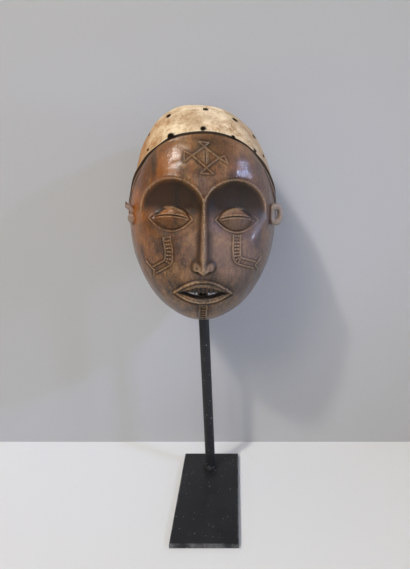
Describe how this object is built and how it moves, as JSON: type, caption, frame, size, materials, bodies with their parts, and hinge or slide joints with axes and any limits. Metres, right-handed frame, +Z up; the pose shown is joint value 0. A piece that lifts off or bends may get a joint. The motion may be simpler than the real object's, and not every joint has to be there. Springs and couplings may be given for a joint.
{
  "type": "carved face mask on a display stand",
  "caption": "Hollow carved wooden face mask with closed eyes, bared teeth and a bare collar for a lost wig, held on a steel rod and flat base plate.",
  "frame": {"origin": "middle of the underside of the base plate", "axes": "+Z is up, the mask faces -Y and the long sides of the plate lie along Y; +X is on the right of someone facing the mask"},
  "size_m": [0.1594, 0.154, 0.4353],
  "materials": {
    "carved_wood": "satin dark patina on the face, dry pale bare wood on the collar and inside",
    "stand_steel": "satin black paint, faintly scuffed"
  },
  "bodies": {
    "root": {"mask": "carved_wood", "stand_rod": "stand_steel", "base_plate": "stand_steel"}
  },
  "joints": []
}
